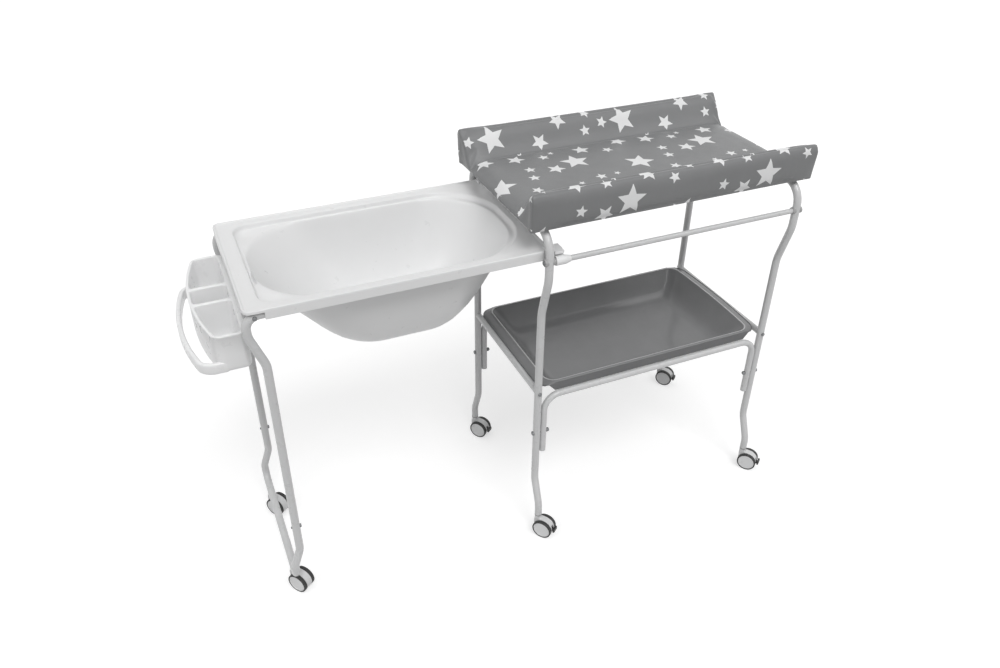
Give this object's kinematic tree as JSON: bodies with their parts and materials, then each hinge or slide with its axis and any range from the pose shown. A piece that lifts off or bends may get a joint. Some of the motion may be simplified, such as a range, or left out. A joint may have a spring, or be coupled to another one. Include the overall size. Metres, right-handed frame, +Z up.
{
  "type": "changing table",
  "caption": "Wheeled steel-tube changing table with a padded mat and shelf tray, and a bath on wheeled legs that slides in under the mat on guide rods.",
  "frame": {"origin": "on the floor under the middle of the whole table's bounding box", "axes": "+X runs from the bath's end to the changing mat's end, +Y from the front to the back, +Z up"},
  "size_m": [1.3938, 0.4782, 0.9293],
  "materials": {
    "tube_paint": "satin powder coat, light silver grey",
    "zinc_steel": "zinc plated",
    "tub_plastic": "glossy white moulding",
    "soap_plastic": "glossy white moulding",
    "slider_plastic": "light grey moulding",
    "saddle_plastic": "grey moulding",
    "socket_plastic": "mid grey moulding",
    "shelf_plastic": "dark grey moulding, satin",
    "hood_plastic": "light grey moulding",
    "wheel_plastic": "light grey moulding",
    "tread_rubber": "dark soft tread",
    "lever_plastic": "black moulding",
    "plug_rubber": "white rubber",
    "mat_vinyl": "coated cloth printed with pale stars",
    "board_wood": "thin fibreboard, white faced",
    "clip_plastic": "grey moulding"
  },
  "bodies": {
    "stand": {"left_end_frame": "tube_paint", "right_end_frame": "tube_paint", "left_cross_tube": "tube_paint", "right_cross_tube": "tube_paint", "front_shelf_rail": "tube_paint", "rear_shelf_rail": "tube_paint", "front_guide_rod": "tube_paint", "rear_guide_rod": "tube_paint", "rod_saddles": "saddle_plastic", "frame_screws": "zinc_steel", "rail_bolts": "zinc_steel", "rail_cap_nuts": "zinc_steel", "leg_sockets": "socket_plastic"},
    "mat": {"mat_board": "board_wood", "changing_mat": "mat_vinyl", "mat_clips": "clip_plastic"},
    "shelf": {"shelf_tray": "shelf_plastic"},
    "bath_carriage": {"bath_tub": "tub_plastic", "soap_tray": "soap_plastic", "front_upper_leg": "tube_paint", "rear_upper_leg": "tube_paint", "lower_leg_frame": "tube_paint", "carriage_screws": "zinc_steel", "front_slider": "slider_plastic", "rear_slider": "slider_plastic"},
    "plug": {"drain_plug": "plug_rubber"},
    "front_left_swivel": {"front_left_caster_housing": "hood_plastic", "front_left_caster_stem": "zinc_steel"},
    "front_left_wheel": {"front_left_caster_axle": "zinc_steel", "front_left_caster_wheels": "wheel_plastic", "front_left_caster_treads": "tread_rubber"},
    "front_left_brake": {"front_left_brake_lever": "lever_plastic"},
    "front_right_swivel": {"front_right_caster_housing": "hood_plastic", "front_right_caster_stem": "zinc_steel"},
    "front_right_wheel": {"front_right_caster_axle": "zinc_steel", "front_right_caster_wheels": "wheel_plastic", "front_right_caster_treads": "tread_rubber"},
    "front_right_brake": {"front_right_brake_lever": "lever_plastic"},
    "rear_left_swivel": {"rear_left_caster_housing": "hood_plastic", "rear_left_caster_stem": "zinc_steel"},
    "rear_left_wheel": {"rear_left_caster_axle": "zinc_steel", "rear_left_caster_wheels": "wheel_plastic", "rear_left_caster_treads": "tread_rubber"},
    "rear_left_brake": {"rear_left_brake_lever": "lever_plastic"},
    "rear_right_swivel": {"rear_right_caster_housing": "hood_plastic", "rear_right_caster_stem": "zinc_steel"},
    "rear_right_wheel": {"rear_right_caster_axle": "zinc_steel", "rear_right_caster_wheels": "wheel_plastic", "rear_right_caster_treads": "tread_rubber"},
    "rear_right_brake": {"rear_right_brake_lever": "lever_plastic"},
    "bath_front_swivel": {"bath_front_caster_housing": "hood_plastic", "bath_front_caster_stem": "zinc_steel"},
    "bath_front_wheel": {"bath_front_caster_axle": "zinc_steel", "bath_front_caster_wheels": "wheel_plastic", "bath_front_caster_treads": "tread_rubber"},
    "bath_rear_swivel": {"bath_rear_caster_housing": "hood_plastic", "bath_rear_caster_stem": "zinc_steel"},
    "bath_rear_wheel": {"bath_rear_caster_axle": "zinc_steel", "bath_rear_caster_wheels": "wheel_plastic", "bath_rear_caster_treads": "tread_rubber"}
  },
  "joints": [
    {"name": "bath_slide", "type": "slide", "parent": "stand", "child": "bath_carriage", "axis": [1, 0, 0], "range_m": [0, 0.55]},
    {"name": "mat_lift", "type": "slide", "parent": "stand", "child": "mat", "axis": [0, 0, 1], "range_m": [0, 0.15]},
    {"name": "shelf_tray_lift", "type": "slide", "parent": "stand", "child": "shelf", "axis": [0, 0, 1], "range_m": [0, 0.12]},
    {"name": "drain_plug_lift", "type": "slide", "parent": "bath_carriage", "child": "plug", "axis": [0, 0, 1], "range_m": [0, 0.04]},
    {"name": "front_left_swivel_turn", "type": "hinge", "parent": "stand", "child": "front_left_swivel", "pos_m": [0.02707, -0.19476, 0.058], "axis": [0, 0, 1], "continuous": true},
    {"name": "front_left_wheel_turn", "type": "hinge", "parent": "front_left_swivel", "child": "front_left_wheel", "pos_m": [0.03815, -0.20894, 0.025], "axis": [0.788, 0.6157, 0], "continuous": true},
    {"name": "front_left_brake_turn", "type": "hinge", "parent": "front_left_swivel", "child": "front_left_brake", "pos_m": [0.04677, -0.21998, 0.025], "axis": [0.788, 0.6157, 0], "range_deg": [0, 18]},
    {"name": "front_right_swivel_turn", "type": "hinge", "parent": "stand", "child": "front_right_swivel", "pos_m": [0.65707, -0.19476, 0.058], "axis": [0, 0, 1], "continuous": true},
    {"name": "front_right_wheel_turn", "type": "hinge", "parent": "front_right_swivel", "child": "front_right_wheel", "pos_m": [0.66815, -0.20894, 0.025], "axis": [0.788, 0.6157, 0], "continuous": true},
    {"name": "front_right_brake_turn", "type": "hinge", "parent": "front_right_swivel", "child": "front_right_brake", "pos_m": [0.67677, -0.21998, 0.025], "axis": [0.788, 0.6157, 0], "range_deg": [0, 18]},
    {"name": "rear_left_swivel_turn", "type": "hinge", "parent": "stand", "child": "rear_left_swivel", "pos_m": [0.02707, 0.22324, 0.058], "axis": [0, 0, 1], "continuous": true},
    {"name": "rear_left_wheel_turn", "type": "hinge", "parent": "rear_left_swivel", "child": "rear_left_wheel", "pos_m": [0.03815, 0.20905, 0.025], "axis": [0.788, 0.6157, 0], "continuous": true},
    {"name": "rear_left_brake_turn", "type": "hinge", "parent": "rear_left_swivel", "child": "rear_left_brake", "pos_m": [0.04677, 0.19802, 0.025], "axis": [0.788, 0.6157, 0], "range_deg": [0, 18]},
    {"name": "rear_right_swivel_turn", "type": "hinge", "parent": "stand", "child": "rear_right_swivel", "pos_m": [0.65707, 0.22324, 0.058], "axis": [0, 0, 1], "continuous": true},
    {"name": "rear_right_wheel_turn", "type": "hinge", "parent": "rear_right_swivel", "child": "rear_right_wheel", "pos_m": [0.66815, 0.20905, 0.025], "axis": [0.788, 0.6157, 0], "continuous": true},
    {"name": "rear_right_brake_turn", "type": "hinge", "parent": "rear_right_swivel", "child": "rear_right_brake", "pos_m": [0.67677, 0.19802, 0.025], "axis": [0.788, 0.6157, 0], "range_deg": [0, 18]},
    {"name": "bath_front_swivel_turn", "type": "hinge", "parent": "bath_carriage", "child": "bath_front_swivel", "pos_m": [-0.57293, -0.11876, 0.058], "axis": [0, 0, 1], "continuous": true},
    {"name": "bath_front_wheel_turn", "type": "hinge", "parent": "bath_front_swivel", "child": "bath_front_wheel", "pos_m": [-0.56185, -0.13295, 0.025], "axis": [0.788, 0.6157, 0], "continuous": true},
    {"name": "bath_rear_swivel_turn", "type": "hinge", "parent": "bath_carriage", "child": "bath_rear_swivel", "pos_m": [-0.57293, 0.14724, 0.058], "axis": [0, 0, 1], "continuous": true},
    {"name": "bath_rear_wheel_turn", "type": "hinge", "parent": "bath_rear_swivel", "child": "bath_rear_wheel", "pos_m": [-0.56185, 0.13306, 0.025], "axis": [0.788, 0.6157, 0], "continuous": true}
  ]
}
